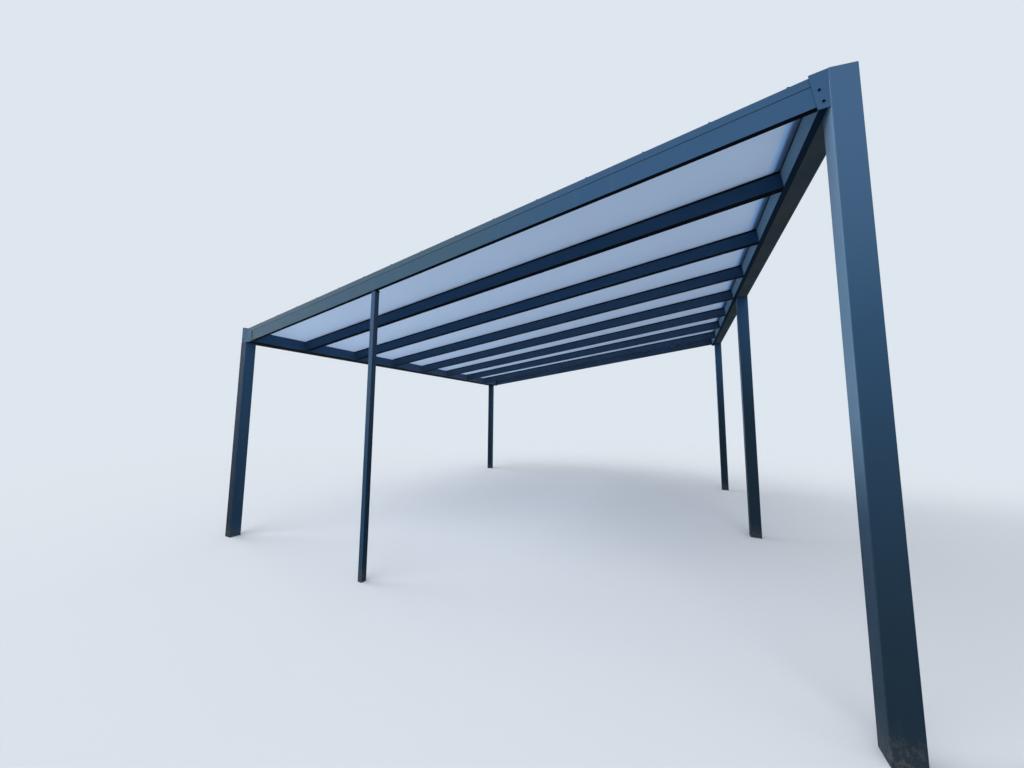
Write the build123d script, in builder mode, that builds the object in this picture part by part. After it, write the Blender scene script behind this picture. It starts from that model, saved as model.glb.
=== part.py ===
from build123d import *
from math import cos, radians, sin, tan
import os

# Lean-to carport: an open aluminium frame with opal multiwall roof panels.
# Millimetres. X runs across the roof, from the low gutter side (-X) to the high side (+X).
# Y runs along the roof, with the front at -Y. Z is up, and the posts stand on Z = 0.

# Overall sizes, to the outer faces of the posts
WIDTH = 5000
LENGTH = 5600
PITCH_DEG = 7.56
LOW_CLEARANCE = 2045  # underside of the roof frame above the ground, at the outer face of the low posts

# Posts and prop
POST = 100
POST_WALL = 3
POST_CORNER = 5
HIGH_POST_RISE = 6  # corner posts above the depth of the wall plate
POST_TOP_FALL = 20  # the tops of the high corner posts fall outwards by this much
POST_LID = 3  # the high corner posts are closed at the top
PROP = 45
PROP_WALL = 2
PROP_CORNER = 3
PROP_FROM_LOW_SIDE = 2040  # outer face of the low posts to the middle of the prop

# Rafters
RAFTER_DEPTH = 107
RAFTER_WIDTH = 55
RAFTER_WALL = 2.5
RAFTER_CORNER = 2
SPINE_WIDTH = 8
INNER_BAYS = 6  # equal bays between the two narrower end bays
END_BAY = 640  # outer face of the corner posts to the middle of the first rafter
END_RAFTER_WIDTH = 20
END_RAFTER_WALL = 2
END_RAFTER_SETBACK = 8  # face of an end rafter behind the faces of the posts

# Panels, gaskets and caps
PANEL_THICKNESS = 16
PANEL_SIDE_GAP = 4
PANEL_EAVES = 70  # panels reach this far over the gutter
PANEL_POCKET = 12  # panels reach this far into the wall plate
GASKET_WIDTH = 7
GASKET_HEIGHT = 3
CAP_WIDTH = 60
CAP_HEIGHT = 12
CAP_BEVEL = 5
CAP_LEG = 6
CAP_TOP_WALL = 5
DRIP_WALL = 1.5
DRIP_GRIP = 20

# Verge trims over the end rafters
VERGE_HEIGHT = 45
VERGE_WIDTH = 40
VERGE_WALL = 2.5
VERGE_JOINT = 2  # open joint between an end rafter and its trim

# Gutter
GUTTER_WIDTH = 200
GUTTER_HEIGHT = 172
GUTTER_WALL = 3
GUTTER_DROP = 10  # underside of the gutter below the rafters
GUTTER_LIP = 14

# High side beam and wall plate
HIGH_BEAM_DEPTH = 140
HIGH_BEAM_WALL = 3
HIGH_BEAM_CORNER = 4
WALL_PLATE_FOOT = 32
WALL_PLATE_WALL = 3
NOSE_JOINT = 12  # open joint between the panels and the nose of the wall plate
WALL_PLATE_TOP_COVER = 33  # wall plate above the top of the panels
COVER_FLANGE = 3
COVER_JOINT = 2  # the flange above the caps, and away from the verge trims
COVER_REACH = 22  # the flange over the ends of the panels, from the face of the wall plate
POCKET_DEPTH = 18
POCKET_CLEARANCE = 1

# End plates of the gutter and wall plate
END_PLATE = 4
END_PLATE_SETBACK = 3  # end plates behind the faces of the posts
END_PLATE_LAP = 20  # below the wall plate
END_PLATE_TOP_LAP = 5  # above the wall plate
END_PLATE_SIDE_LAP = 14
END_PLATE_CORNER = 7

# Places that follow from the sizes
HALF_WIDTH = WIDTH / 2
HALF_LENGTH = LENGTH / 2
SLOPE = tan(radians(PITCH_DEG))
PITCH_SIN = sin(radians(PITCH_DEG))
PITCH_COS = cos(radians(PITCH_DEG))

# Roof coordinates: run up the slope from the outer low edge, Y, and rise square to the slope
ROOF = Plane(
    origin=(-HALF_WIDTH, 0, LOW_CLEARANCE),
    x_dir=(PITCH_COS, 0, PITCH_SIN),
    z_dir=(-PITCH_SIN, 0, PITCH_COS),
)
PANEL_UNDERSIDE = RAFTER_DEPTH + GASKET_HEIGHT
PANEL_TOP = PANEL_UNDERSIDE + PANEL_THICKNESS
CAP_CEILING = PANEL_TOP + CAP_HEIGHT - CAP_TOP_WALL
VERGE_BOTTOM = RAFTER_DEPTH + VERGE_JOINT
VERGE_TOP = VERGE_BOTTOM + VERGE_HEIGHT
WALL_PLATE_NOSE = PANEL_UNDERSIDE - NOSE_JOINT
WALL_PLATE_TOP = PANEL_TOP + WALL_PLATE_TOP_COVER
COVER_BOTTOM = PANEL_TOP + CAP_HEIGHT + COVER_JOINT


def run_at(x, rise):
    """Distance up the slope of the point at X = x that lies this rise above the roof's underside."""
    return (x + HALF_WIDTH + rise * PITCH_SIN) / PITCH_COS


def roof_point(run, rise):
    """X and Z of a point given in roof coordinates."""
    point = ROOF.from_local_coords(Vector(run, 0, rise))
    return point.X, point.Z


HIGH_POST_FACE = HALF_WIDTH - POST
GUTTER_FACE = GUTTER_WIDTH - HALF_WIDTH
LOW_END = run_at(GUTTER_FACE, -GUTTER_DROP)
HIGH_END = run_at(HIGH_POST_FACE - WALL_PLATE_FOOT, 0)
GUTTER_UNDERSIDE = roof_point(LOW_END, -GUTTER_DROP)[1]
HIGH_UNDERSIDE = roof_point(HIGH_END, 0)[1]
HIGH_POST_TOP = HIGH_UNDERSIDE + WALL_PLATE_TOP + HIGH_POST_RISE
PANEL_LOW_END = LOW_END - PANEL_EAVES
POST_Y = HALF_LENGTH - POST / 2
PROFILE_HALF_LENGTH = HALF_LENGTH - END_PLATE_SETBACK - END_PLATE
COVER_HALF_LENGTH = HALF_LENGTH - END_RAFTER_SETBACK - VERGE_WIDTH - COVER_JOINT
END_RAFTER_Y = HALF_LENGTH - END_RAFTER_SETBACK - END_RAFTER_WIDTH / 2
INNER_PITCH = (LENGTH - 2 * END_BAY) / INNER_BAYS
RAFTER_ROWS = [(i - INNER_BAYS / 2) * INNER_PITCH for i in range(INNER_BAYS + 1)]


def up_slope(run):
    """Plane square to the slope: its x is Y and its y is the rise above the roof's underside."""
    return Plane(
        origin=ROOF.from_local_coords(Vector(run, 0, 0)),
        x_dir=(0, 1, 0),
        z_dir=(PITCH_COS, 0, PITCH_SIN),
    )


def write(builder, name):
    builder.part.label = name
    export_step(builder.part, f"parts/{name}.step")


def square_tube(size, wall, corner):
    """Sketch of a square tube with rounded outer corners."""
    RectangleRounded(size, size, corner)
    Rectangle(size - 2 * wall, size - 2 * wall, mode=Mode.SUBTRACT)


def make_post(name, x, y, height):
    """Square tube post, open at both ends."""
    with BuildPart() as post:
        with BuildSketch(Plane.XY):
            with Locations((x, y)):
                square_tube(POST, POST_WALL, POST_CORNER)
        extrude(amount=height)
    write(post, name)


def make_tall_post(name, x, y):
    """Square tube post with a closed top that falls outwards."""
    bore = POST - 2 * POST_WALL
    inner, outer = x - POST / 2, x + POST / 2
    low_top = HIGH_POST_TOP - POST_TOP_FALL
    with BuildPart() as post:
        with BuildSketch(Plane.XZ.offset(-y)):
            with BuildLine():
                Polyline((inner, 0), (outer, 0), (outer, low_top), (inner, HIGH_POST_TOP), close=True)
            make_face()
        extrude(amount=POST / 2, both=True)
        fillet(post.edges().filter_by(Axis.Z), POST_CORNER)
        with BuildSketch(Plane.XZ.offset(-y)):
            with BuildLine():
                Polyline(
                    (inner, 0),
                    (outer, 0),
                    (outer, low_top - POST_LID),
                    (inner, HIGH_POST_TOP - POST_LID),
                    close=True,
                )
            make_face()
            with Locations((x, HIGH_POST_TOP / 2)):
                Rectangle(bore, 2 * HIGH_POST_TOP, mode=Mode.INTERSECT)
        extrude(amount=bore / 2, both=True, mode=Mode.SUBTRACT)
    write(post, name)


def make_prop():
    """Slim tube under the front end rafter, cut to the slope at its top."""
    x = PROP_FROM_LOW_SIDE - HALF_WIDTH
    y = -HALF_LENGTH + END_RAFTER_SETBACK + PROP / 2
    with BuildPart() as prop:
        with BuildSketch(Plane.XY):
            with Locations((x, y)):
                square_tube(PROP, PROP_WALL, PROP_CORNER)
        extrude(amount=LOW_CLEARANCE + WIDTH * SLOPE)
        split(bisect_by=ROOF, keep=Keep.BOTTOM)
    write(prop, "front_prop")


def make_rafter(name, y):
    """Hollow glazing bar with a spine that stands up between two panels."""
    spine_height = CAP_CEILING - RAFTER_DEPTH
    with BuildPart() as rafter:
        with BuildSketch(up_slope(LOW_END)):
            with Locations((y, RAFTER_DEPTH / 2)):
                RectangleRounded(RAFTER_WIDTH, RAFTER_DEPTH, RAFTER_CORNER)
                Rectangle(
                    RAFTER_WIDTH - 2 * RAFTER_WALL,
                    RAFTER_DEPTH - 2 * RAFTER_WALL,
                    mode=Mode.SUBTRACT,
                )
            with Locations((y, RAFTER_DEPTH - RAFTER_WALL / 2 + spine_height / 2)):
                Rectangle(SPINE_WIDTH, spine_height + RAFTER_WALL)
        extrude(amount=HIGH_END - LOW_END)
    write(rafter, name)


def make_end_rafter(name, side):
    """Slim hollow bar at the front (side -1) or rear (side 1) edge."""
    with BuildPart() as rafter:
        with BuildSketch(up_slope(LOW_END)):
            with Locations((side * END_RAFTER_Y, RAFTER_DEPTH / 2)):
                Rectangle(END_RAFTER_WIDTH, RAFTER_DEPTH)
                Rectangle(
                    END_RAFTER_WIDTH - 2 * END_RAFTER_WALL,
                    RAFTER_DEPTH - 2 * END_RAFTER_WALL,
                    mode=Mode.SUBTRACT,
                )
        extrude(amount=HIGH_END - LOW_END)
    write(rafter, name)


def make_cap(name, y):
    """Bevelled cap that clamps two panels: its legs rest on them and its ceiling on the spine."""
    half = CAP_WIDTH / 2
    top = PANEL_TOP + CAP_HEIGHT
    with BuildPart() as cap:
        with BuildSketch(up_slope(PANEL_LOW_END)):
            with BuildLine():
                Polyline(
                    (y - half, PANEL_TOP),
                    (y - half + CAP_LEG, PANEL_TOP),
                    (y - half + CAP_LEG, CAP_CEILING),
                    (y + half - CAP_LEG, CAP_CEILING),
                    (y + half - CAP_LEG, PANEL_TOP),
                    (y + half, PANEL_TOP),
                    (y + half, top - CAP_BEVEL),
                    (y + half - CAP_BEVEL, top),
                    (y - half + CAP_BEVEL, top),
                    (y - half, top - CAP_BEVEL),
                    close=True,
                )
            make_face()
        extrude(amount=HIGH_END - PANEL_LOW_END)
    write(cap, name)


def make_verge_trim(name, side):
    """Channel over the edge of the last panel: a deep outer leg, a flange and a short inner leg."""
    face = side * (HALF_LENGTH - END_RAFTER_SETBACK)
    inward = -side
    inner = face + inward * VERGE_WIDTH
    with BuildPart() as trim:
        with BuildSketch(up_slope(PANEL_LOW_END)):
            with BuildLine():
                Polyline(
                    (face, VERGE_BOTTOM),
                    (face, VERGE_TOP),
                    (inner, VERGE_TOP),
                    (inner, PANEL_TOP),
                    (inner - inward * VERGE_WALL, PANEL_TOP),
                    (inner - inward * VERGE_WALL, VERGE_TOP - VERGE_WALL),
                    (face + inward * VERGE_WALL, VERGE_TOP - VERGE_WALL),
                    (face + inward * VERGE_WALL, VERGE_BOTTOM),
                    close=True,
                )
            make_face()
        extrude(amount=HIGH_END - PANEL_LOW_END)
    write(trim, name)


def panel_edges():
    """Y of the two side edges of each panel, from front to rear."""
    beside_spine = SPINE_WIDTH / 2 + PANEL_SIDE_GAP
    verge_edge = HALF_LENGTH - END_RAFTER_SETBACK - VERGE_WALL - PANEL_SIDE_GAP
    starts = [-verge_edge] + [y + beside_spine for y in RAFTER_ROWS]
    ends = [y - beside_spine for y in RAFTER_ROWS] + [verge_edge]
    return list(zip(starts, ends))


def make_panel(name, front, rear):
    run = HIGH_END + PANEL_POCKET - PANEL_LOW_END
    with BuildPart() as panel:
        with BuildSketch(ROOF.offset(PANEL_UNDERSIDE)):
            with Locations((PANEL_LOW_END + run / 2, (front + rear) / 2)):
                Rectangle(run, rear - front)
        extrude(amount=PANEL_THICKNESS)
    write(panel, name)


def make_drip_trims():
    """Channels that close the low ends of the panels, one to a panel."""
    outer = PANEL_LOW_END - DRIP_WALL
    with BuildPart() as trims:
        for front, rear in panel_edges():
            with BuildSketch(Plane.XZ.offset(-rear)):
                with BuildLine():
                    Polyline(
                        roof_point(outer, PANEL_UNDERSIDE - DRIP_WALL),
                        roof_point(outer + DRIP_GRIP, PANEL_UNDERSIDE - DRIP_WALL),
                        roof_point(outer + DRIP_GRIP, PANEL_UNDERSIDE),
                        roof_point(PANEL_LOW_END, PANEL_UNDERSIDE),
                        roof_point(PANEL_LOW_END, PANEL_TOP),
                        roof_point(outer, PANEL_TOP),
                        close=True,
                    )
                make_face()
            extrude(amount=rear - front)
    write(trims, "panel_drip_trims")


def make_gaskets():
    """Strips along the tops of the rafters that the panels lie on."""
    beside = RAFTER_WIDTH / 2 - GASKET_WIDTH / 2 - RAFTER_CORNER
    strips = [y + side * beside for y in RAFTER_ROWS for side in (-1, 1)]
    strips += [-END_RAFTER_Y, END_RAFTER_Y]
    with BuildPart() as gaskets:
        with BuildSketch(up_slope(LOW_END)):
            with Locations([(y, RAFTER_DEPTH + GASKET_HEIGHT / 2) for y in strips]):
                Rectangle(GASKET_WIDTH, GASKET_HEIGHT)
        extrude(amount=HIGH_END - LOW_END)
    write(gaskets, "panel_gaskets")


def gutter_outline():
    """Outer outline of the gutter: level base, upright outer wall, inner wall square to the slope."""
    left = -HALF_WIDTH
    top = GUTTER_UNDERSIDE + GUTTER_HEIGHT
    inner_top = roof_point(LOW_END, RAFTER_DEPTH)
    return [(left, top), (left, GUTTER_UNDERSIDE), (GUTTER_FACE, GUTTER_UNDERSIDE), inner_top]


def make_gutter():
    """Open trough that carries the low ends of the rafters and takes the water."""
    (left, top), (_, base), (face, _), inner_top = gutter_outline()
    inner_wall_top = roof_point(LOW_END - GUTTER_WALL, RAFTER_DEPTH)
    inner_wall_foot = roof_point(LOW_END - GUTTER_WALL, GUTTER_WALL - GUTTER_DROP)
    floor = base + GUTTER_WALL
    with BuildPart() as gutter:
        with BuildSketch(Plane.XZ):
            with BuildLine():
                Polyline(
                    (left, base),
                    (face, base),
                    inner_top,
                    inner_wall_top,
                    (inner_wall_foot[0], floor),
                    (left + GUTTER_WALL, floor),
                    (left + GUTTER_WALL, top - GUTTER_WALL),
                    (left + GUTTER_LIP, top - GUTTER_WALL),
                    (left + GUTTER_LIP, top),
                    (left, top),
                    close=True,
                )
            make_face()
        extrude(amount=PROFILE_HALF_LENGTH, both=True)
    write(gutter, "gutter")


def make_high_beam():
    """Box beam between the high corner posts, over the middle post."""
    centre = (HALF_WIDTH - POST / 2, HIGH_UNDERSIDE + HIGH_BEAM_DEPTH / 2)
    with BuildPart() as beam:
        with BuildSketch(Plane.XZ):
            with Locations(centre):
                RectangleRounded(POST, HIGH_BEAM_DEPTH, HIGH_BEAM_CORNER)
                Rectangle(
                    POST - 2 * HIGH_BEAM_WALL,
                    HIGH_BEAM_DEPTH - 2 * HIGH_BEAM_WALL,
                    mode=Mode.SUBTRACT,
                )
        extrude(amount=HALF_LENGTH - POST, both=True)
    write(beam, "high_side_beam")


def make_wall_plate():
    """Hollow profile on the inner faces of the high posts: a pocket for the panels, a flange over them."""
    pocket_roof = PANEL_TOP + POCKET_CLEARANCE
    pocket_back = HIGH_END + POCKET_DEPTH
    back_run = run_at(HIGH_POST_FACE, WALL_PLATE_TOP)
    with BuildPart() as plate:
        with BuildSketch(Plane.XZ):
            with BuildLine():
                Polyline(
                    (HIGH_POST_FACE, HIGH_UNDERSIDE),
                    roof_point(HIGH_END, 0),
                    roof_point(HIGH_END, WALL_PLATE_NOSE),
                    roof_point(pocket_back, WALL_PLATE_NOSE),
                    roof_point(pocket_back, pocket_roof),
                    roof_point(HIGH_END, pocket_roof),
                    roof_point(HIGH_END, WALL_PLATE_TOP),
                    roof_point(back_run, WALL_PLATE_TOP),
                    close=True,
                )
            make_face()
            offset(amount=-WALL_PLATE_WALL, kind=Kind.INTERSECTION, mode=Mode.SUBTRACT)
        extrude(amount=PROFILE_HALF_LENGTH, both=True)
        with BuildSketch(Plane.XZ):
            with BuildLine():
                Polyline(
                    roof_point(HIGH_END - COVER_REACH, COVER_BOTTOM + COVER_FLANGE),
                    roof_point(HIGH_END - COVER_REACH, COVER_BOTTOM),
                    roof_point(HIGH_END, COVER_BOTTOM),
                    roof_point(HIGH_END, COVER_BOTTOM + COVER_FLANGE),
                    close=True,
                )
            make_face()
        extrude(amount=COVER_HALF_LENGTH, both=True)
    write(plate, "wall_plate")


def make_end_plate(name, outline, side, rounded):
    """Flat plate over the end of a profile, with some of its corners rounded."""
    with BuildPart() as plate:
        with BuildSketch(Plane.XZ.offset(-side * (HALF_LENGTH - END_PLATE_SETBACK))) as sketch:
            with BuildLine():
                Polyline(*outline, close=True)
            make_face()
            corners = [
                vertex
                for vertex in sketch.vertices()
                if any((vertex.center() - Vector(x, vertex.Y, z)).length < 1 for x, z in rounded)
            ]
            fillet(corners, END_PLATE_CORNER)
        extrude(amount=side * END_PLATE)
    write(plate, name)


def wall_plate_end_outline():
    edge = HIGH_END - END_PLATE_SIDE_LAP
    low = roof_point(edge, -END_PLATE_LAP)
    high = roof_point(edge, WALL_PLATE_TOP + END_PLATE_TOP_LAP)
    return [(HIGH_POST_FACE, low[1]), low, high, (HIGH_POST_FACE, HIGH_POST_TOP)]


os.makedirs("parts", exist_ok=True)

low_x = POST / 2 - HALF_WIDTH
high_x = HALF_WIDTH - POST / 2
make_post("front_left_post", low_x, -POST_Y, GUTTER_UNDERSIDE)
make_post("rear_left_post", low_x, POST_Y, GUTTER_UNDERSIDE)
make_post("middle_right_post", high_x, 0, HIGH_UNDERSIDE)
make_tall_post("front_right_post", high_x, -POST_Y)
make_tall_post("rear_right_post", high_x, POST_Y)
make_prop()

make_gutter()
make_high_beam()
make_wall_plate()
for end, side in (("front", -1), ("rear", 1)):
    gutter_end = gutter_outline()
    make_end_plate(f"gutter_end_{end}", gutter_end, side, gutter_end[1:2])
    plate_end = wall_plate_end_outline()
    make_end_plate(f"wall_plate_end_{end}", plate_end, side, plate_end[1:3])
    make_end_rafter(f"{end}_end_rafter", side)
    make_verge_trim(f"{end}_verge_trim", side)

for number, y in enumerate(RAFTER_ROWS, start=1):
    make_rafter(f"rafter_{number}", y)
    make_cap(f"glazing_cap_{number}", y)
for number, (front, rear) in enumerate(panel_edges(), start=1):
    make_panel(f"roof_panel_{number}", front, rear)
make_drip_trims()
make_gaskets()
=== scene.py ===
import math
from fnmatch import fnmatch

import bpy
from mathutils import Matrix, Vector


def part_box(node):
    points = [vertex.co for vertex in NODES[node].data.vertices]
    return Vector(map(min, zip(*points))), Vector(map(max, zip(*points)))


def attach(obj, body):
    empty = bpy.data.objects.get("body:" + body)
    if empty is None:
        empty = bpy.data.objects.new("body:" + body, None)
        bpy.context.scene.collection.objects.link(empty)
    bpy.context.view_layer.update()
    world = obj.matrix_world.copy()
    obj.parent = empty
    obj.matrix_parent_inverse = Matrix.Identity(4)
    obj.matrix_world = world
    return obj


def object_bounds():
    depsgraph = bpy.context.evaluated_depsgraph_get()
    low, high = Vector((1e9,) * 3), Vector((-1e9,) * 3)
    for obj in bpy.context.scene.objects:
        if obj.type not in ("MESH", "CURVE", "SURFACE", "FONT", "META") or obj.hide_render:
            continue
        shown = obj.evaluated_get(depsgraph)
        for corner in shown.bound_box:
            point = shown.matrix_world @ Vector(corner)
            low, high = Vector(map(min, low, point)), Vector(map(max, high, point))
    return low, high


# Looks of a lean-to carport, in metres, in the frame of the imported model:
# X across the roof towards the high side, Y from the front to the rear, Z up.

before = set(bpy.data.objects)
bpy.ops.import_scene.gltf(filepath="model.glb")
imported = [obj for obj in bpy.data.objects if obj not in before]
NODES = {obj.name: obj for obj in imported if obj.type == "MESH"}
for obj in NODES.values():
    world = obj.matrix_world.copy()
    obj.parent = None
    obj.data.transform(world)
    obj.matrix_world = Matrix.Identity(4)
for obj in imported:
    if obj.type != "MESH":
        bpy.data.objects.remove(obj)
cad_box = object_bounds()

# Sizes repeated from the model
PITCH = math.radians(7.56)
LOW_CLEARANCE = 2.045
RAFTER_DEPTH = 0.107
PLATE_NOSE = 0.098
PANEL_UNDERSIDE = 0.110
PANEL_TOP = 0.126
CAP_TOP = 0.138
CAP_BEVEL = 0.005
VERGE_JOINT = 0.002
VERGE_TOP = 0.154

# Sizes read from the frame
CAPS = sorted(name for name in NODES if name.startswith("glazing_cap"))
RAFTERS = [name for name in NODES if "rafter" in name]
HALF_WIDTH = cad_box[1][0]
RAFTER_FACE_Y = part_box("rear_end_rafter")[1].y
PLATE_FACE_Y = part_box("wall_plate_end_rear")[1].y
verge_low, verge_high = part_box("rear_verge_trim")
VERGE_WIDTH = verge_high.y - verge_low.y
cap_low, cap_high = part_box(CAPS[0])
CAP_WIDTH = cap_high.y - cap_low.y
PANEL_LOW_END = (cap_low.x + HALF_WIDTH + CAP_TOP * math.sin(PITCH)) / math.cos(PITCH)
HIGH_END = (cap_high.x + HALF_WIDTH + PANEL_TOP * math.sin(PITCH)) / math.cos(PITCH)

SLOPE_DIR = Vector((math.cos(PITCH), 0, math.sin(PITCH)))
ROOF_UP = Vector((-math.sin(PITCH), 0, math.cos(PITCH)))
ROOF_ORIGIN = Vector((-HALF_WIDTH, 0, LOW_CLEARANCE))


def roof_point(run, y, rise):
    """A point given by its run up the slope, its Y and its rise above the underside of the roof frame."""
    return ROOF_ORIGIN + run * SLOPE_DIR + rise * ROOF_UP + Vector((0, y, 0))


def middle_y(node):
    low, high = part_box(node)
    return (low.y + high.y) / 2


# Materials

class Shader:
    """Nodes of one material or of the world. Places are read in the frame of the model."""

    def __init__(self, owner, output="ShaderNodeOutputMaterial", place="Object"):
        owner.use_nodes = True
        self.owner = owner
        self.tree = owner.node_tree
        self.tree.nodes.clear()
        self.output = self.add(output)
        self.place = self.add("ShaderNodeTexCoord").outputs[place]

    def add(self, kind, inputs=None, **settings):
        node = self.tree.nodes.new(kind)
        for key, value in settings.items():
            setattr(node, key, value)
        for key, value in (inputs or {}).items():
            self.put(node.inputs[key], value)
        return node

    def put(self, socket, value):
        if isinstance(value, bpy.types.NodeSocket):
            self.tree.links.new(value, socket)
        elif socket.type == "RGBA" and len(value) == 3:
            socket.default_value = (*value, 1)
        else:
            socket.default_value = value

    def math(self, operation, a, b=0.0, clamp=False):
        return self.add("ShaderNodeMath", {0: a, 1: b}, operation=operation, use_clamp=clamp).outputs[0]

    def product(self, value, *others):
        for other in others:
            value = self.math("MULTIPLY", value, other)
        return value

    def axis(self, name, vector=None):
        split = self.add("ShaderNodeSeparateXYZ", {0: vector or self.place})
        return split.outputs[name]

    def facing(self, name):
        """A component of the true normal of the surface."""
        return self.axis(name, self.add("ShaderNodeNewGeometry").outputs["True Normal"])

    def noise(self, scale, detail=2.0, stretch=(1, 1, 1), roughness=0.5):
        mapping = self.add("ShaderNodeMapping", {"Vector": self.place, "Scale": stretch})
        inputs = {"Vector": mapping.outputs[0], "Scale": scale, "Detail": detail, "Roughness": roughness}
        return self.add("ShaderNodeTexNoise", inputs).outputs[0]

    def span(self, value, low, high, to_low=0.0, to_high=1.0):
        """The value from low to high, smoothly taken to run from to_low to to_high."""
        inputs = {0: value, 1: low, 2: high, 3: to_low, 4: to_high}
        return self.add("ShaderNodeMapRange", inputs, interpolation_type="SMOOTHSTEP").outputs[0]

    def varied(self, low, high, scale, detail=2.0):
        """Noise of a given scale, spread from low to high."""
        return self.span(self.noise(scale, detail), 0.3, 0.7, low, high)

    def blend(self, share, a, b, blend_type="MIX"):
        mix = self.add("ShaderNodeMix", data_type="RGBA", blend_type=blend_type)
        for index, value in ((0, share), (6, a), (7, b)):
            self.put(mix.inputs[index], value)
        return mix.outputs[2]

    def scaled(self, colour, amount):
        """A colour made lighter or darker by an amount near 1."""
        grey = self.add("ShaderNodeCombineColor", {0: amount, 1: amount, 2: amount}).outputs[0]
        return self.blend(1.0, colour, grey, "MULTIPLY")

    def bump(self, height, strength, distance):
        inputs = {"Strength": strength, "Distance": distance, "Height": height}
        return self.add("ShaderNodeBump", inputs).outputs[0]

    def surface(self, **inputs):
        """A principled surface. Names of inputs are written with underscores."""
        named = {key.replace("_", " "): value for key, value in inputs.items()}
        self.show(self.add("ShaderNodeBsdfPrincipled", named))

    def mixed(self, share, a, b):
        return self.add("ShaderNodeMixShader", {0: share, 1: a.outputs[0], 2: b.outputs[0]})

    def show(self, node):
        self.put(self.output.inputs["Surface"], node.outputs[0])


# Colours of the coat, of what lies on it, and of painted light and shade on it
COAT = (0.030, 0.086, 0.178)
# Painted shade: the coat darkens towards this near the ground
NEAR_GROUND_SHADE = (0.015, 0.034, 0.056)
# Painted light on faces below the panels that turn to the low side: the nose of the wall plate and the upper
# inner faces of the high posts
PLATE_NOSE_LIGHT = (0.265, 0.425, 0.545)
POST_INNER_LIGHT = (0.092, 0.168, 0.262)
# Dust, also laid on as painted light that greys faces along an axis
DUST_AND_GREY_LIGHT = (0.26, 0.25, 0.22)
# Painted sheen on the outer faces of the roof edges
GREEN_SHEEN = (0.094, 0.142, 0.086)
# Painted light from below on faces turned down
UNDERSIDE_LIGHT = (0.30, 0.34, 0.29)
SPLASH = (0.13, 0.12, 0.105)

# Places between which the coat changes
FRAME_HEIGHTS = (0.0, 2.8)
SPLASHED_HEIGHTS = (0.0, 0.22)
INNER_LIGHT_START = (0.8, 1.35)
LOW_POST_INNER_X = (-2.42, -2.38)
GREEN_SHEEN_END_X = (0.1, 1.4)
EDGE_FACE_Y = RAFTER_FACE_Y - 0.002
NOSE_HEIGHT = LOW_CLEARANCE + HALF_WIDTH * math.tan(PITCH) + PLATE_NOSE / math.cos(PITCH)
UNDERSIDE_BELOW_NOSE = 0.100
SOFT_EDGE = 0.006


def above_nose(shader):
    """Height above the slope on which the nose of the wall plate lies, just under the panels."""
    slope = shader.math("ADD", shader.product(shader.axis("X"), math.tan(PITCH)), NOSE_HEIGHT)
    return shader.math("SUBTRACT", shader.axis("Z"), slope)


def coat_colour(shader, inner, ground_shade, dulled):
    """The coat with painted shade towards the ground, and painted light on inner faces below the panels."""
    below_panels = shader.span(above_nose(shader), 0.0, SOFT_EDGE, 1.0, 0.0)
    turned = shader.span(shader.facing("X"), -0.9, -0.6, 1.0, 0.0)
    # The painted light on the inner faces starts above mid height
    started = shader.span(shader.axis("Z"), *INNER_LIGHT_START, 0.05, 1.0)
    painted_inner_light = shader.product(below_panels, turned, started)
    # Painted shade near the ground
    colour = shader.blend(shader.span(shader.axis("Z"), *dulled, ground_shade, 0.0), COAT, NEAR_GROUND_SHADE)
    return shader.blend(painted_inner_light, colour, inner)


def coat_tone(shader, ground_shade):
    """Mottle, fine grain, and painted shade: a tone that is darker near the ground and lighter with height.
    """
    grain = shader.span(shader.noise(900.0, 1.0), 0.25, 0.75, 0.96, 1.04)
    # Painted shade: darker near the ground, lighter higher up
    height_shade = shader.span(shader.axis("Z"), *FRAME_HEIGHTS, 0.85 - 0.15 * ground_shade, 0.92 + 0.40 * ground_shade)
    return shader.product(shader.varied(0.985, 1.015, 2.2, 3.0), grain, height_shade)


def rain_runs(shader):
    """Share of long thin runs on upright faces."""
    upright = shader.math("SUBTRACT", 1.0, shader.math("ABSOLUTE", shader.facing("Z")), True)
    runs = shader.noise(1.0, 4.0, stretch=(26, 26, 0.9))
    return shader.product(shader.span(runs, 0.56, 0.72), upright)


def green_sheen(shader):
    """Share of a painted sheen: a green tint on the outer faces of the roof edges, towards the low side."""
    across = shader.math("ABSOLUTE", shader.axis("Y"))
    outer = shader.span(across, EDGE_FACE_Y - SOFT_EDGE, EDGE_FACE_Y)
    on_roof = shader.span(above_nose(shader), -UNDERSIDE_BELOW_NOSE, SOFT_EDGE - UNDERSIDE_BELOW_NOSE)
    past_post = shader.span(shader.axis("X"), *LOW_POST_INNER_X)
    fading = shader.span(shader.axis("X"), *GREEN_SHEEN_END_X, 0.26, 0.0)
    return shader.product(outer, on_roof, past_post, shader.varied(0.8, 1.2, 2.6), fading)


def top_dust(shader):
    """Share of dust on faces turned up."""
    patches = shader.span(shader.noise(7.0, 5.0, roughness=0.62), 0.35, 0.7, 0.16, 0.66)
    return shader.product(shader.span(shader.facing("Z"), 0.4, 0.9), patches)


def ground_splash(shader):
    """Share of spots and soil splashed up from the ground."""
    spots = shader.span(shader.noise(58.0, 4.0, roughness=0.7), 0.46, 0.64, 0.10, 0.52)
    low = shader.span(shader.axis("Z"), *SPLASHED_HEIGHTS, 1.0, 0.0)
    return shader.product(low, low, spots)


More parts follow.
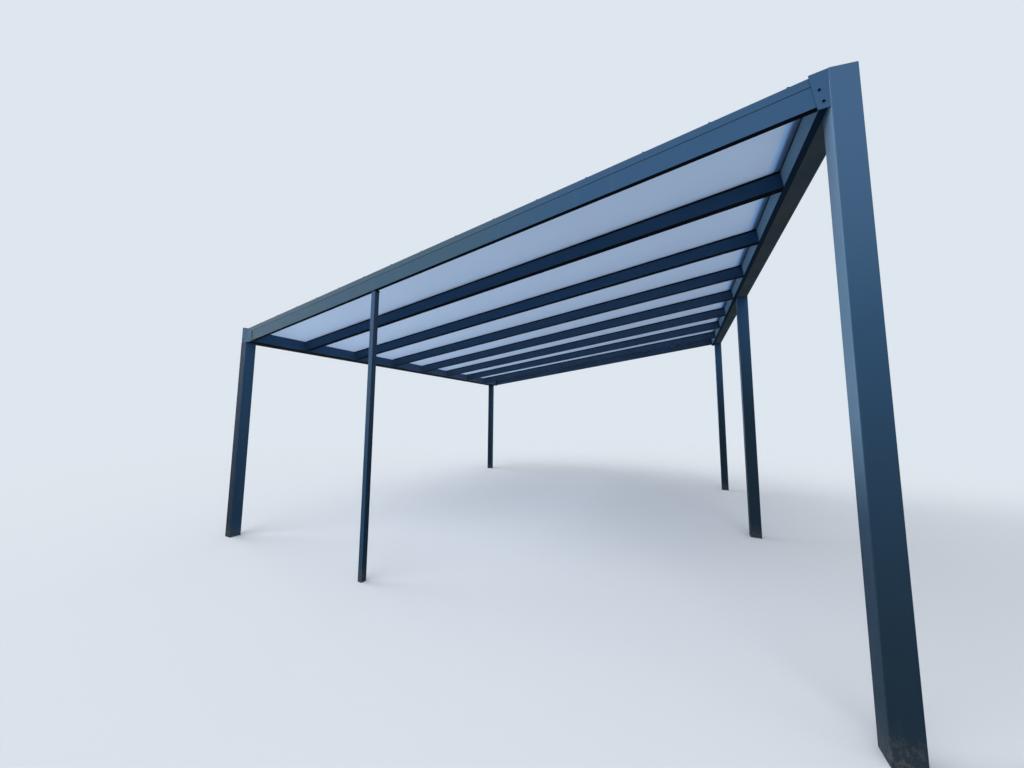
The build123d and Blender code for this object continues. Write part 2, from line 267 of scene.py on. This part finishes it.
def powder_coat(
    name, under=0.60, inner=COAT, ground_shade=0.5, dulled=FRAME_HEIGHTS, shaded=None, lit_from_below=0.0, greyed=None
):
    """Satin blue-grey powder coat: orange peel, runs of rain, dust on top and splashes near the ground, with
    painted light and shade.

    under: the share of their tone that faces turned down keep, as painted shade
    inner: the colour of faces below the panels that turn to the low side, painted light on them
    ground_shade, dulled: the share of painted shade that darkens the coat at the ground, and the heights
    over which it clears
    shaded: an axis, a sense, and the share of their tone that faces turned that way keep
    lit_from_below: the share of faces turned down that a pale grey covers, painted light from below
    greyed: an axis, two places on it, and the share of pale grey at each, painted light that greys faces
    along the axis
    """
    shader = Shader(bpy.data.materials.new(name))
    facing_down = shader.span(shader.facing("Z"), -0.97, -0.6, 1.0, 0.0)
    # Painted shade on faces turned down
    tone = shader.product(coat_tone(shader, ground_shade), shader.span(facing_down, 0.0, 1.0, 1.0, under))
    if shaded:
        axis, sense, share = shaded
        turned = shader.product(shader.facing(axis), sense)
        tone = shader.product(tone, shader.span(turned, 0.6, 0.9, 1.0, share))
    body = shader.scaled(coat_colour(shader, inner, ground_shade, dulled), tone)
    body = shader.blend(shader.product(rain_runs(shader), 0.03), body, DUST_AND_GREY_LIGHT)
    # Painted light: pale grey laid along an axis
    if greyed:
        axis, *change = greyed
        body = shader.blend(shader.span(shader.axis(axis), *change), body, DUST_AND_GREY_LIGHT)
    # Painted light from below: a pale grey on faces turned down
    if lit_from_below:
        cloudy = shader.varied(0.8 * lit_from_below, 1.2 * lit_from_below, 3.4, 3.0)
        body = shader.blend(shader.product(facing_down, cloudy), body, UNDERSIDE_LIGHT)
    # Painted sheen on the outer faces of the roof edges
    body = shader.blend(green_sheen(shader), body, GREEN_SHEEN)
    dust = top_dust(shader)
    body = shader.blend(shader.product(dust, 0.6), body, DUST_AND_GREY_LIGHT)
    splash = ground_splash(shader)
    body = shader.blend(splash, body, SPLASH)

    soil = shader.math("ADD", shader.math("ADD", dust, splash), facing_down)
    rough = shader.math("ADD", shader.varied(0.60, 0.67, 14.0, 3.0), shader.product(soil, 0.5), True)
    peel = shader.bump(shader.noise(650.0, 1.0), 0.16, 0.0004)
    shader.surface(Base_Color=body, Roughness=rough, Normal=peel, Specular_IOR_Level=0.05)
    return shader.owner


# Colours of the opal sheet, and the places along X between which it changes
OPAL_FRONT = (0.78, 0.82, 0.87)
OPAL_THROUGH = (0.65, 0.75, 0.88)
# Painted light: a bluer band of light through the sheet just before the high ends
BLUE_BAND_THROUGH = (0.45, 0.68, 0.97)
# Painted shade of the wall plate's pocket on the high ends of the sheets
POCKET_SHADE_FRONT = (0.20, 0.28, 0.40)
GRIME = (0.30, 0.30, 0.26)
WASHED_X = (-2.36, -1.5)
BLUE_BAND_X = (2.286, 2.314)
POCKET_SHADE_X = (2.310, 2.336)
FLUTE_PITCH = 0.020
FLUTE_WALL = 0.0022


def sheet_grime(shader):
    """Fingers and specks of grime on the upper skin, thickest at the low end where rain leaves it."""
    washed = shader.span(shader.axis("X"), *WASHED_X, 0.64, 0.14)
    fingers = shader.span(shader.noise(1.0, 4.0, stretch=(1.6, 34, 1)), 0.4, 0.72)
    specks = shader.span(shader.noise(120.0, 3.0, roughness=0.7), 0.6, 0.74, 0.0, 0.2)
    grime = shader.math("ADD", shader.product(washed, fingers), specks, True)
    return shader.product(grime, shader.span(shader.facing("Z"), 0.5, 0.9, 0.0, 0.45))


def opal_sheet(name):
    """Opal multiwall sheet: light comes through it, its inner walls show as faint lines down the slope.

    The high ends sit in the pocket of the wall plate; a bluer band of light and then the pocket's shade are
    painted just before them.
    """
    shader = Shader(bpy.data.materials.new(name))
    to_wall = shader.math("PINGPONG", shader.axis("Y"), FLUTE_PITCH / 2)
    wall = shader.span(to_wall, 0.0, FLUTE_WALL, 1.0, 0.0)
    shade = shader.math("SUBTRACT", 1.0, shader.product(wall, 0.025))
    # Painted light: the bluer band before the high ends
    blue_band = shader.span(shader.axis("X"), *BLUE_BAND_X)
    # Painted shade in the pocket of the wall plate
    pocket_shade = shader.span(shader.axis("X"), *POCKET_SHADE_X)

    front = shader.blend(sheet_grime(shader), shader.scaled(OPAL_FRONT, shade), GRIME)
    front = shader.blend(shader.product(pocket_shade, 0.85), front, POCKET_SHADE_FRONT)
    # Painted light: more light comes through towards the low side
    painted_light_across = shader.span(shader.axis("X"), -HALF_WIDTH, HALF_WIDTH, 0.99, 0.88)
    light = shader.product(shade, painted_light_across, shader.span(pocket_shade, 0.0, 1.0, 1.0, 0.43))
    through = shader.scaled(shader.blend(blue_band, OPAL_THROUGH, BLUE_BAND_THROUGH), light)
    skin = shader.add("ShaderNodeBsdfPrincipled", {
        "Base Color": front,
        "Roughness": shader.varied(0.30, 0.32, 30.0),
        "Normal": shader.bump(wall, 0.12, 0.0003),
    })
    glow = shader.add("ShaderNodeBsdfTranslucent", {"Color": through})
    shader.show(shader.mixed(0.62, skin, glow))
    return shader.owner


RUBBER = (0.006, 0.006, 0.008)
MILL_FINISH = (0.55, 0.56, 0.57)
MILL_STAIN = (0.40, 0.40, 0.39)


def black_rubber(name):
    shader = Shader(bpy.data.materials.new(name))
    shader.surface(
        Base_Color=shader.scaled(RUBBER, shader.varied(0.7, 1.3, 40.0, 3.0)),
        Roughness=shader.varied(0.65, 0.82, 90.0),
        Normal=shader.bump(shader.noise(400.0), 0.2, 0.0004),
        Specular_IOR_Level=0.04,
    )
    return shader.owner


def mill_aluminium(name):
    """Drawn aluminium with fine lines along Y, dulled by weather."""
    shader = Shader(bpy.data.materials.new(name))
    lines = shader.noise(1.0, 3.0, stretch=(900, 6, 900))
    stain = shader.span(shader.noise(11.0, 4.0), 0.35, 0.7)
    colour = shader.blend(stain, MILL_FINISH, MILL_STAIN)
    shader.surface(
        Base_Color=shader.scaled(colour, shader.span(lines, 0.3, 0.7, 0.9, 1.06)),
        Metallic=0.9,
        Roughness=shader.span(stain, 0.0, 1.0, 0.34, 0.52),
        Normal=shader.bump(lines, 0.15, 0.0003),
    )
    return shader.owner


def wear(obj, material):
    obj.data.materials.clear()
    obj.data.materials.append(material)


# The coats below differ in painted light and shade: darker undersides on the rafters, a lit underside on the
# beam, lighter inner faces on the wall plate and high posts, greyed and shaded faces elsewhere
coat = powder_coat("blue_grey_powder_coat")
rafter_coat = powder_coat("rafter_powder_coat", under=0.05, greyed=("Y", -1.8, 1.0, 0.02, 0.13))
plate_coat = powder_coat("wall_plate_powder_coat", inner=PLATE_NOSE_LIGHT)
beam_coat = powder_coat("beam_powder_coat", under=1.0, lit_from_below=0.4)
verge_coat = powder_coat("verge_powder_coat", greyed=("X", -0.2, 1.8, 0.12, 0.03))
low_post_coat = powder_coat("low_post_powder_coat", shaded=("Y", -1, 0.4))
prop_coat = powder_coat("prop_powder_coat", shaded=("X", 1, 0.4), greyed=("Z", 0.8, 1.5, 0.0, 0.05))
# Posts of the high side: stronger painted shade towards the ground, painted light on their inner faces
far_post_coat = powder_coat("far_post_powder_coat", inner=POST_INNER_LIGHT, ground_shade=1.0, dulled=(1.2, 2.7))
high_post_coat = powder_coat(
    "high_post_powder_coat", inner=POST_INNER_LIGHT, ground_shade=1.0, greyed=("Z", 1.5, 2.4, 0.0, 0.07)
)
opal = opal_sheet("opal_multiwall_sheet")
rubber = black_rubber("black_rubber")
mill = mill_aluminium("mill_aluminium")

# Each node wears the first finish whose pattern fits its name
FINISHES = (
    ("roof_panel_*", opal),
    ("panel_gaskets", rubber),
    ("panel_drip_trims", mill),
    ("*rafter*", rafter_coat),
    ("gutter", rafter_coat),
    ("wall_plate", plate_coat),
    ("wall_plate_end_*", verge_coat),
    ("*_verge_trim", verge_coat),
    ("high_side_beam", beam_coat),
    ("front_prop", prop_coat),
    ("front_right_post", high_post_coat),
    ("*_right_post", far_post_coat),
    ("*_left_post", low_post_coat),
    ("*", coat),
)
for name, node in NODES.items():
    wear(node, next(finish for pattern, finish in FINISHES if fnmatch(name, pattern)))


# Small pieces on the frame

def add_object(name, data):
    obj = bpy.data.objects.new(name, data)
    bpy.context.scene.collection.objects.link(obj)
    return obj


class Mesh:
    """Collects corners and faces of one piece."""

    def __init__(self):
        self.points, self.faces, self.smooth = [], [], []

    def add_face(self, corners, smooth=False):
        self.faces.append(tuple(corners))
        self.smooth.append(smooth)

    def loft(self, rings, smooth=True, close_ends=True):
        """Joins rings of equally many points. The last ring may be a single point."""
        first, count = len(self.points), len(rings[0])
        for ring in rings:
            self.points += ring
        for step, ring in enumerate(rings[1:]):
            a = first + step * count
            b = a + count
            for i in range(count):
                j = (i + 1) % count
                end = (b,) if len(ring) == 1 else (b + j, b + i)
                self.add_face((a + i, a + j, *end), smooth)
        if close_ends:
            self.add_face(reversed(range(first, first + count)))
            if len(rings[-1]) > 1:
                self.add_face(range(len(self.points) - count, len(self.points)))

    def prism(self, outline, depth):
        """A flat outline, as points in either sense, pushed along the vector depth."""
        turn = sum((a.cross(b) for a, b in zip(outline, outline[1:] + outline[:1])), Vector())
        if turn.dot(depth) < 0:
            outline = outline[::-1]
        self.loft([outline, [p + depth for p in outline]], smooth=False)

    def bar(self, section, face, side, start, end):
        """A bar along the slope. Its section gives distances out of a face, towards side, and rises."""
        outline = [roof_point(start, face + side * a, b) for a, b in section]
        self.prism(outline, SLOPE_DIR * (end - start))

    def turned(self, profile, base, up, scale=1.0, sides=20, smooth=True, phase=0.0, close_ends=True):
        """A profile of (radius, height) turned about the line up from base."""
        side = up.orthogonal().normalized()
        other = up.cross(side)
        angles = [phase + 2 * math.pi * i / sides for i in range(sides)]
        rings = []
        for radius, height in profile:
            centre = base + up * height * scale
            around = [centre + radius * scale * (math.cos(a) * side + math.sin(a) * other) for a in angles]
            rings.append(around if radius else [centre])
        self.loft(rings, smooth, close_ends)

    def piece(self, name, material, slot):
        data = bpy.data.meshes.new(name)
        data.from_pydata([tuple(p) for p in self.points], [], self.faces)
        data.polygons.foreach_set("use_smooth", self.smooth)
        data.validate()
        data.update()
        obj = add_object(name, data)
        wear(obj, material)
        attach(obj, "root")


def rectangle(near, far, foot, top):
    return [(near, foot), (far, foot), (far, top), (near, top)]


# Profiles of the screws, as (radius, height)
SCREW_SEAL = ((0.0088, 0.0), (0.0096, 0.0009), (0.0092, 0.0022))
SCREW_FLANGE = ((0.0098, 0.0022), (0.0098, 0.0031), (0.0070, 0.0036))
SCREW_HEXAGON = ((0.0064, 0.0032), (0.0064, 0.0086), (0.0055, 0.0095), (0.0, 0.0096))
PAN_HEAD = (
    (0.0082, 0.0),
    (0.0082, 0.0010),
    (0.0074, 0.0022),
    (0.0064, 0.0026),
    (0.0060, 0.0024),
    (0.0060, 0.0002),
)
# The socket floor is black: painted shade in the hollow of the socket
SOCKET_FLOOR = ((0.0060, 0.0006), (0.0, 0.0006))

SCREW_PITCH = 0.32
FIRST_SCREW = 0.086  # from the high end
LAST_SCREW = 0.04  # at least this far from the low end
VERGE_SCREW = 0.0115  # from the outer face of the trim
HEXAGON_TURN = 0.7  # radians from one screw to the next
LINE_TURN = 9  # radians for each metre between two lines of screws


def cap_screws():
    """Sealed hexagon screws along the caps and the verge trims, each turned its own way."""
    seals, heads = Mesh(), Mesh()
    lines = [(middle_y(cap), CAP_TOP) for cap in CAPS]
    lines += [(side * (RAFTER_FACE_Y - VERGE_SCREW), VERGE_TOP) for side in (-1, 1)]
    for y, rise in lines:
        count, run = 0, HIGH_END - FIRST_SCREW
        while run > PANEL_LOW_END + LAST_SCREW:
            foot = roof_point(run, y, rise)
            phase = HEXAGON_TURN * count + LINE_TURN * y
            seals.turned(SCREW_SEAL, foot, ROOF_UP)
            heads.turned(SCREW_FLANGE, foot, ROOF_UP)
            heads.turned(SCREW_HEXAGON, foot, ROOF_UP, sides=6, smooth=False, phase=phase)
            count, run = count + 1, run - SCREW_PITCH
    seals.piece("cap_screw_seals", rubber, "gasket")
    heads.piece("cap_screws", coat, "frame_coat")


# The pad between the prop and the front end rafter
PAD_FOOT = -0.0130
PAD_HEIGHT = 0.0128
PAD_EDGE = 0.0012  # past each face of the prop
prop_low, prop_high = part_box("front_prop")
PROP_RUN = ((prop_low.x + prop_high.x) / 2 + HALF_WIDTH) / math.cos(PITCH)

PLATE_SCREWS = ((0.007, 0.073), (0.011, 0.012))  # run past the high end, rise
GUTTER_SCREW_OUTER = 0.030  # from the edges of a gutter end
GUTTER_SCREW_INNER = 0.055
GUTTER_SCREW_FOOT = 0.030
GUTTER_SCREW_TOP = 0.045
PAD_SCREW = 0.013  # from the middle of the pad
GUTTER_SCREW_SCALE = 0.8
PAD_SCREW_SCALE = 0.6


def end_plate_screws():
    """Pan heads with a wide socket on the end plates, the gutter ends and the pad of the prop. The black
    floor of each socket is painted shade in its hollow.
    """
    heads, socket_shades = Mesh(), Mesh()

    def screw(spot, side, scale=1.0):
        out = Vector((0, side, 0))
        heads.turned(PAN_HEAD, spot, out, scale, close_ends=False)
        socket_shades.turned(SOCKET_FLOOR, spot, out, scale, smooth=False)

    for end, side in (("front", -1), ("rear", 1)):
        for run, rise in PLATE_SCREWS:
            spot = roof_point(HIGH_END + run, 0, rise)
            spot.y = side * PLATE_FACE_Y
            screw(spot, side)
        low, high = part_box("gutter_end_" + end)
        outer, inner = low.x + GUTTER_SCREW_OUTER, high.x - GUTTER_SCREW_INNER
        foot, top = low.z + GUTTER_SCREW_FOOT, high.z - GUTTER_SCREW_TOP
        for x, z in ((outer, top), (outer, foot), (inner, foot)):
            screw(Vector((x, side * PLATE_FACE_Y, z)), side, GUTTER_SCREW_SCALE)
    for step in (-PAD_SCREW, PAD_SCREW):
        screw(roof_point(PROP_RUN + step, prop_low.y - PAD_EDGE, PAD_FOOT / 2), -1, PAD_SCREW_SCALE)
    heads.piece("end_plate_screws", coat, "frame_coat")
    socket_shades.piece("screw_socket_shades", rubber, "fastener")


HIGH_GAP = 0.002  # between a seal and the wall plate
LIP_START = 0.075  # clear of the gutter and the drip trims
AT_EDGE = 0.001  # this near the outer faces of the end rafters
SUNK = 0.001  # of a lip into its face

# Sections of seals and closers, as (distance out of a face, rise)
LIP_FOOT = RAFTER_DEPTH - 0.0125
LIP_TOP = PANEL_UNDERSIDE - 0.0004
RAFTER_LIP = ((-SUNK, LIP_FOOT), (0.0018, LIP_FOOT + 0.0020), (0.0018, LIP_TOP), (-SUNK, LIP_TOP))
# Black strip at the foot of an end rafter: painted shade
END_UNDERSIDE_SHADE = ((-SUNK, 0.0003), (0.0120, 0.0003), (0.0120, 0.0030), (-SUNK, 0.0070))
JOINT_SEAL = rectangle(-0.0015, 0.0002, RAFTER_DEPTH - 0.0008, RAFTER_DEPTH + VERGE_JOINT + 0.0008)
POCKET_SEAL = rectangle(0.0015, 0.0060, PLATE_NOSE, PANEL_UNDERSIDE - 0.0003)
POCKET_HALF_LENGTH = 2.785
CAP_LIP = ((0, PANEL_TOP), (0.0030, PANEL_TOP), (0.0022, PANEL_TOP + 0.0018), (0, PANEL_TOP + 0.0034))
CLOSER_THICKNESS = 0.0025
CLOSER_FOOT = PANEL_TOP - 0.016
CAP_CLOSER = (
    (-CAP_WIDTH / 2, CLOSER_FOOT),
    (CAP_WIDTH / 2, CLOSER_FOOT),
    (CAP_WIDTH / 2, CAP_TOP - CAP_BEVEL),
    (CAP_WIDTH / 2 - CAP_BEVEL, CAP_TOP),
    (CAP_BEVEL - CAP_WIDTH / 2, CAP_TOP),
    (-CAP_WIDTH / 2, CAP_TOP - CAP_BEVEL),
)
VERGE_CLOSER = rectangle(0, VERGE_WIDTH, RAFTER_DEPTH + VERGE_JOINT, VERGE_TOP)


def verge_joint_seals():
    """Black seal that shows in the open joint between each verge trim and its rafter."""
    joints = Mesh()
    for side in (-1, 1):
        joints.bar(JOINT_SEAL, side * RAFTER_FACE_Y, side, PANEL_LOW_END, HIGH_END - HIGH_GAP)
    joints.piece("verge_joint_seals", rubber, "gasket")


def rafter_lips():
    """Seal lips along the tops of the rafters, and black strips along the inner feet of the end rafters,
    painted shade that widens their dark undersides.
    """
    lips = Mesh()
    for name in RAFTERS:
        low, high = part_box(name)
        section = END_UNDERSIDE_SHADE if "end" in name else RAFTER_LIP
        for face, side in ((low.y, -1), (high.y, 1)):
            if abs(face) < RAFTER_FACE_Y - AT_EDGE:
                lips.bar(section, face, side, PANEL_LOW_END + LIP_START, HIGH_END - HIGH_GAP)
    lips.piece("rafter_lips", rubber, "gasket")


def prop_pad():
    pad = Mesh()
    half = (prop_high.x - prop_low.x) / 2 + PAD_EDGE
    outline = rectangle(-half, half, prop_low.y - PAD_EDGE, prop_high.y + PAD_EDGE)
    pad.prism([roof_point(PROP_RUN + a, y, PAD_FOOT) for a, y in outline], ROOF_UP * PAD_HEIGHT)
    pad.piece("prop_pad", rubber, "gasket")


def pocket_seal():
    """Black seal under the high ends of the panels, in the mouth of the wall plate."""
    seal = Mesh()
    outline = [roof_point(HIGH_END + a, -POCKET_HALF_LENGTH, b) for a, b in POCKET_SEAL]
    seal.prism(outline, Vector((0, 2 * POCKET_HALF_LENGTH, 0)))
    seal.piece("pocket_seal", rubber, "gasket")


def cap_lips_and_ends():
    """Soft lips along the edges of the caps, and closers on the low ends of caps and verge trims."""
    lips, closers = Mesh(), Mesh()
    low_ends = (PANEL_LOW_END - CLOSER_THICKNESS, PANEL_LOW_END)
    for cap in CAPS:
        y = middle_y(cap)
        for side in (-1, 1):
            lips.bar(CAP_LIP, y + side * CAP_WIDTH / 2, side, PANEL_LOW_END, HIGH_END)
        closers.bar(CAP_CLOSER, y, 1, *low_ends)
    for side in (-1, 1):
        closers.bar(VERGE_CLOSER, side * RAFTER_FACE_Y, -side, *low_ends)
    lips.piece("cap_lips", rubber, "gasket")
    closers.piece("cap_ends", coat, "frame_coat")


cap_screws()
end_plate_screws()
verge_joint_seals()
rafter_lips()
prop_pad()
pocket_seal()
cap_lips_and_ends()


# Floor, backdrop, light and camera

BACKDROP = (0.73, 0.79, 0.86)
SKY = (0.88, 0.94, 1.0)
FLOOR = (0.60, 0.62, 0.65)
FLOOR_BOUNCE = (0.12, 0.12, 0.12)
FLOOR_REACH = 60
FLOOR_FADE = (3.5, 24.0)  # distances from the middle


def to_eye(shader):
    """1 for rays from the camera, in reflections and through clear surfaces, 0 for light that spreads."""
    path = shader.add("ShaderNodeLightPath").outputs
    share = shader.math("ADD", path["Is Camera Ray"], path["Is Glossy Ray"])
    return shader.math("ADD", share, path["Is Transmission Ray"], True)


def floor_material(name):
    """Pale floor that fades into the backdrop and sends little light back up."""
    shader = Shader(bpy.data.materials.new(name))
    near = shader.add("ShaderNodeBsdfDiffuse", {"Color": FLOOR})
    dull = shader.add("ShaderNodeBsdfDiffuse", {"Color": FLOOR_BOUNCE})
    far = shader.add("ShaderNodeEmission", {"Color": BACKDROP, "Strength": 1.0})
    distance = shader.add("ShaderNodeVectorMath", {0: shader.place}, operation="LENGTH").outputs["Value"]
    shown = shader.mixed(shader.span(distance, *FLOOR_FADE), near, far)
    shader.show(shader.mixed(to_eye(shader), dull, shown))
    return shader.owner


def studio_floor(name):
    data = bpy.data.meshes.new(name)
    corners = [(FLOOR_REACH * x, FLOOR_REACH * y, 0) for x, y in ((-1, -1), (1, -1), (1, 1), (-1, 1))]
    data.from_pydata(corners, [], [(0, 1, 2, 3)])
    ground = add_object(name, data)
    wear(ground, floor_material(name))


def studio_sky(name):
    """Light from overhead and low from both sides, most from the right. The eye sees a plain backdrop."""
    sky = bpy.data.worlds.new(name)
    bpy.context.scene.world = sky
    shader = Shader(sky, "ShaderNodeOutputWorld", "Generated")
    across = shader.math("POWER", shader.axis("X"), 2.0)
    right = shader.span(shader.axis("X"), -0.3, 0.3, 0.36, 0.95)
    low = shader.span(shader.axis("Z"), 0.1, 0.8, 1.0, 0.0)
    overhead = shader.span(shader.axis("Z"), 0.0, 0.75, 0.34, 0.64)
    strength = shader.math("ADD", overhead, shader.product(across, right, low))
    lit = shader.add("ShaderNodeBackground", {"Color": SKY, "Strength": strength})
    plain = shader.add("ShaderNodeBackground", {"Color": BACKDROP, "Strength": 1.0})
    shader.show(shader.mixed(to_eye(shader), lit, plain))


# Names of the lamps, with energy, angle in degrees and the direction that the light comes from
SUNS = (
    ("front_key", 1.85, 64, (-0.12, -0.80, 0.59)),
    ("left_key", 2.7, 40, (-0.94, -0.12, 0.32)),
    ("right_fill", 0.7, 36, (0.98, -0.15, 0.08)),
    ("rear_rim", 0.5, 30, (-0.32, 0.94, 0.08)),
)


def suns():
    for name, energy, angle, source in SUNS:
        sun = bpy.data.lights.new(name, "SUN")
        sun.energy = energy
        sun.angle = math.radians(angle)
        lamp = add_object(name, sun)
        lamp.rotation_mode = "QUATERNION"
        lamp.rotation_quaternion = Vector(source).to_track_quat("Z", "Y")


# The camera stands as the photograph's did. Its place and turn come from straight edges of the frame.
SENSOR_WIDTH = 36
LENS = 11.819
LENS_SHIFT = (0.01176, 0.00044)
CAMERA_PLACE = (1.7522, -4.6922, 1.2778)
CAMERA_TURN = (95.4593, -0.6075, 27.9003)  # degrees
CLIP = (0.02, 300)


def photo_camera():
    data = bpy.data.cameras.new("camera")
    data.sensor_width = SENSOR_WIDTH
    data.lens = LENS
    data.shift_x, data.shift_y = LENS_SHIFT
    data.clip_start, data.clip_end = CLIP
    camera = add_object("camera", data)
    camera.location = CAMERA_PLACE
    camera.rotation_euler = [math.radians(a) for a in CAMERA_TURN]
    bpy.context.scene.camera = camera


studio_floor("studio_floor")
studio_sky("studio")
suns()
photo_camera()
bpy.context.scene.view_settings.view_transform = "Standard"
